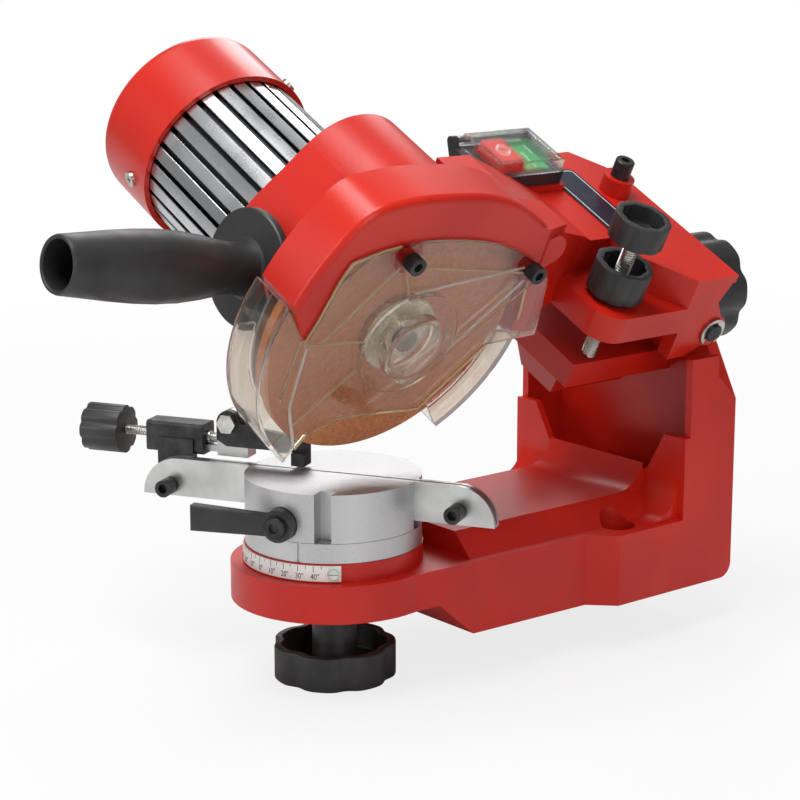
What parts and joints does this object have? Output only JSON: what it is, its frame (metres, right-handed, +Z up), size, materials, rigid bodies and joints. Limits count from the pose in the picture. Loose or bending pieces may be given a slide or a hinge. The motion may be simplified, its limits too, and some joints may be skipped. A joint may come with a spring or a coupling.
{
  "type": "electric chainsaw sharpener",
  "caption": "Bench-mounted electric saw-chain sharpener: tilting, spring-lifted grinding head with motor, guarded wheel and handle above a swivelling chain vise.",
  "frame": {"origin": "on the bench surface, midway between the two bench bolts", "axes": "+Z up, +Y towards the column and the tilt knob, +X to the right of the user who stands in front"},
  "size_m": [0.2468, 0.4113, 0.3138],
  "materials": {
    "red_paint": "gloss",
    "red_cap": "gloss",
    "cast_aluminium": "sand cast, turned edge",
    "motor_aluminium": "satin",
    "rail_steel": "brushed",
    "zinc_steel": "zinc plated",
    "dark_steel": "black oxide",
    "black_plastic": "matte",
    "spring_steel": "oiled",
    "electrical_steel": "laminated",
    "copper": "enamelled wire",
    "clear_guard": "clear",
    "clear_flap": "clear",
    "plate_blue": "satin",
    "abrasive": "rough",
    "scale_white": "printed",
    "label_dark": "matte",
    "button_red": "gloss",
    "button_green": "gloss"
  },
  "bodies": {
    "base": {"base_casting": "red_paint", "scale_plate": "scale_white", "scale_screws": "zinc_steel"},
    "vise": {"vise_body": "cast_aluminium", "rear_rail": "rail_steel", "rail_screws": "dark_steel", "swivel_stud": "zinc_steel", "clamp_washer": "zinc_steel", "stop_bracket": "dark_steel"},
    "jaw": {"front_jaw": "cast_aluminium", "front_rail": "rail_steel"},
    "lever": {"clamp_lever": "black_plastic", "lever_screw": "dark_steel"},
    "vise_knob": {"clamp_knob": "black_plastic"},
    "stop_carriage": {"stop_slider": "rail_steel", "pawl_bolt": "zinc_steel"},
    "stop_drive": {"stop_screw": "zinc_steel", "stop_knob": "black_plastic"},
    "stop_pawl": {"pawl": "dark_steel"},
    "bracket": {"swivel_bracket": "red_paint", "tilt_stud": "zinc_steel", "tilt_washer": "zinc_steel", "hinge_pin": "dark_steel", "hinge_clips": "zinc_steel", "lift_spring": "spring_steel", "pin_spacer": "black_plastic"},
    "rear_knob": {"tilt_knob": "black_plastic"},
    "head": {"arm_casting": "red_paint", "motor_housing": "motor_aluminium", "end_cap": "red_cap", "cap_screws": "zinc_steel", "stator": "electrical_steel", "windings": "copper", "bearings": "zinc_steel", "capacitor": "black_plastic", "inner_plate": "plate_blue", "guard_cover": "clear_guard", "rear_guard": "clear_guard", "guard_screws": "dark_steel", "handle_grip": "black_plastic", "handle_stud": "zinc_steel", "contact_block": "black_plastic", "switch_frame": "black_plastic", "flap_pin": "dark_steel", "label_plate": "label_dark", "spring_screw": "dark_steel"},
    "rotor": {"rotor_shaft": "electrical_steel", "fan": "black_plastic", "inner_flange": "zinc_steel", "grinding_wheel": "abrasive", "outer_flange": "zinc_steel", "arbor_nut": "zinc_steel"},
    "depth_stop": {"depth_rod": "zinc_steel"},
    "depth_wheel": {"depth_knob": "black_plastic"},
    "lock_wheel": {"lock_knob": "black_plastic"},
    "off_key": {"off_button": "button_red"},
    "on_key": {"on_button": "button_green"},
    "flap": {"switch_flap": "clear_flap"}
  },
  "joints": [
    {"name": "vise_swivel", "type": "hinge", "parent": "base", "child": "vise", "pos_m": [0, -0.15, 0.047], "axis": [0, 0, 1], "range_deg": [-65, 5]},
    {"name": "jaw_slide", "type": "slide", "parent": "vise", "child": "jaw", "axis": [0.5, -0.866, 0], "range_m": [0, 0.0012]},
    {"name": "lever_turn", "type": "hinge", "parent": "jaw", "child": "lever", "pos_m": [0.01521, -0.19434, 0.0655], "axis": [0.5, -0.866, 0], "range_deg": [0, 45]},
    {"name": "vise_knob_turn", "type": "hinge", "parent": "vise", "child": "vise_knob", "pos_m": [0, -0.15, -0.01], "axis": [0, 0, 1], "range_deg": [-360, 0]},
    {"name": "stop_turn", "type": "hinge", "parent": "vise", "child": "stop_drive", "pos_m": [-0.1192, -0.20554, 0.0905], "axis": [0.866, 0.5, 0], "range_deg": [-1081, 1081]},
    {"name": "stop_slide", "type": "slide", "parent": "vise", "child": "stop_carriage", "axis": [0.866, 0.5, 0], "range_m": [-0.003, 0.003]},
    {"name": "pawl_lift", "type": "hinge", "parent": "stop_carriage", "child": "stop_pawl", "pos_m": [-0.0538, -0.17482, 0.1005], "axis": [0.5, -0.866, 0], "range_deg": [0, 55]},
    {"name": "head_tilt", "type": "hinge", "parent": "base", "child": "bracket", "pos_m": [0.015, 0.063, 0.15], "axis": [0, 1, 0], "range_deg": [-26.5, 3.5]},
    {"name": "tilt_knob_turn", "type": "hinge", "parent": "bracket", "child": "rear_knob", "pos_m": [0.015, 0.085, 0.15], "axis": [0, 1, 0], "range_deg": [-360, 0]},
    {"name": "head_lift", "type": "hinge", "parent": "bracket", "child": "head", "pos_m": [0.02013, 0.051, 0.16029], "axis": [-0.8949, 0, 0.4462], "range_deg": [-1, 30], "stiffness_Nm_per_rad": 9.4, "springref_deg": 47.82},
    {"name": "wheel_spin", "type": "hinge", "parent": "head", "child": "rotor", "pos_m": [0.03493, -0.143, 0.16174], "axis": [0.8949, 0, -0.4462], "continuous": true},
    {"name": "depth_turn", "type": "hinge", "parent": "depth_stop", "child": "depth_wheel", "pos_m": [0.07219, -0.0125, 0.19747], "axis": [0.4462, 0, 0.8949], "range_deg": [-721, 2881]},
    {"name": "depth_slide", "type": "slide", "parent": "head", "child": "depth_stop", "axis": [0.4462, 0, 0.8949], "range_m": [-0.0025, 0.01]},
    {"name": "lock_turn", "type": "hinge", "parent": "head", "child": "lock_wheel", "pos_m": [0.0597, -0.0125, 0.17241], "axis": [0.4462, 0, 0.8949], "range_deg": [0, 270]},
    {"name": "off_press", "type": "slide", "parent": "head", "child": "off_key", "axis": [-0.4462, 0, -0.8949], "range_m": [0, 0.0025], "stiffness_N_per_m": 300, "springref_m": -0.002},
    {"name": "on_press", "type": "slide", "parent": "head", "child": "on_key", "axis": [-0.4462, 0, -0.8949], "range_m": [0, 0.0025], "stiffness_N_per_m": 300, "springref_m": -0.002},
    {"name": "flap_open", "type": "hinge", "parent": "head", "child": "flap", "pos_m": [-0.02749, -0.0235, 0.23689], "axis": [0, -1, 0], "range_deg": [0, 100]}
  ],
  "couplings": [
    {"joint": "lever_turn", "follows": "jaw_slide", "rad_per_m": 654.4},
    {"joint": "stop_turn", "follows": "stop_slide", "rad_per_m": 6283.2},
    {"joint": "depth_turn", "follows": "depth_slide", "rad_per_m": 5026.5}
  ]
}
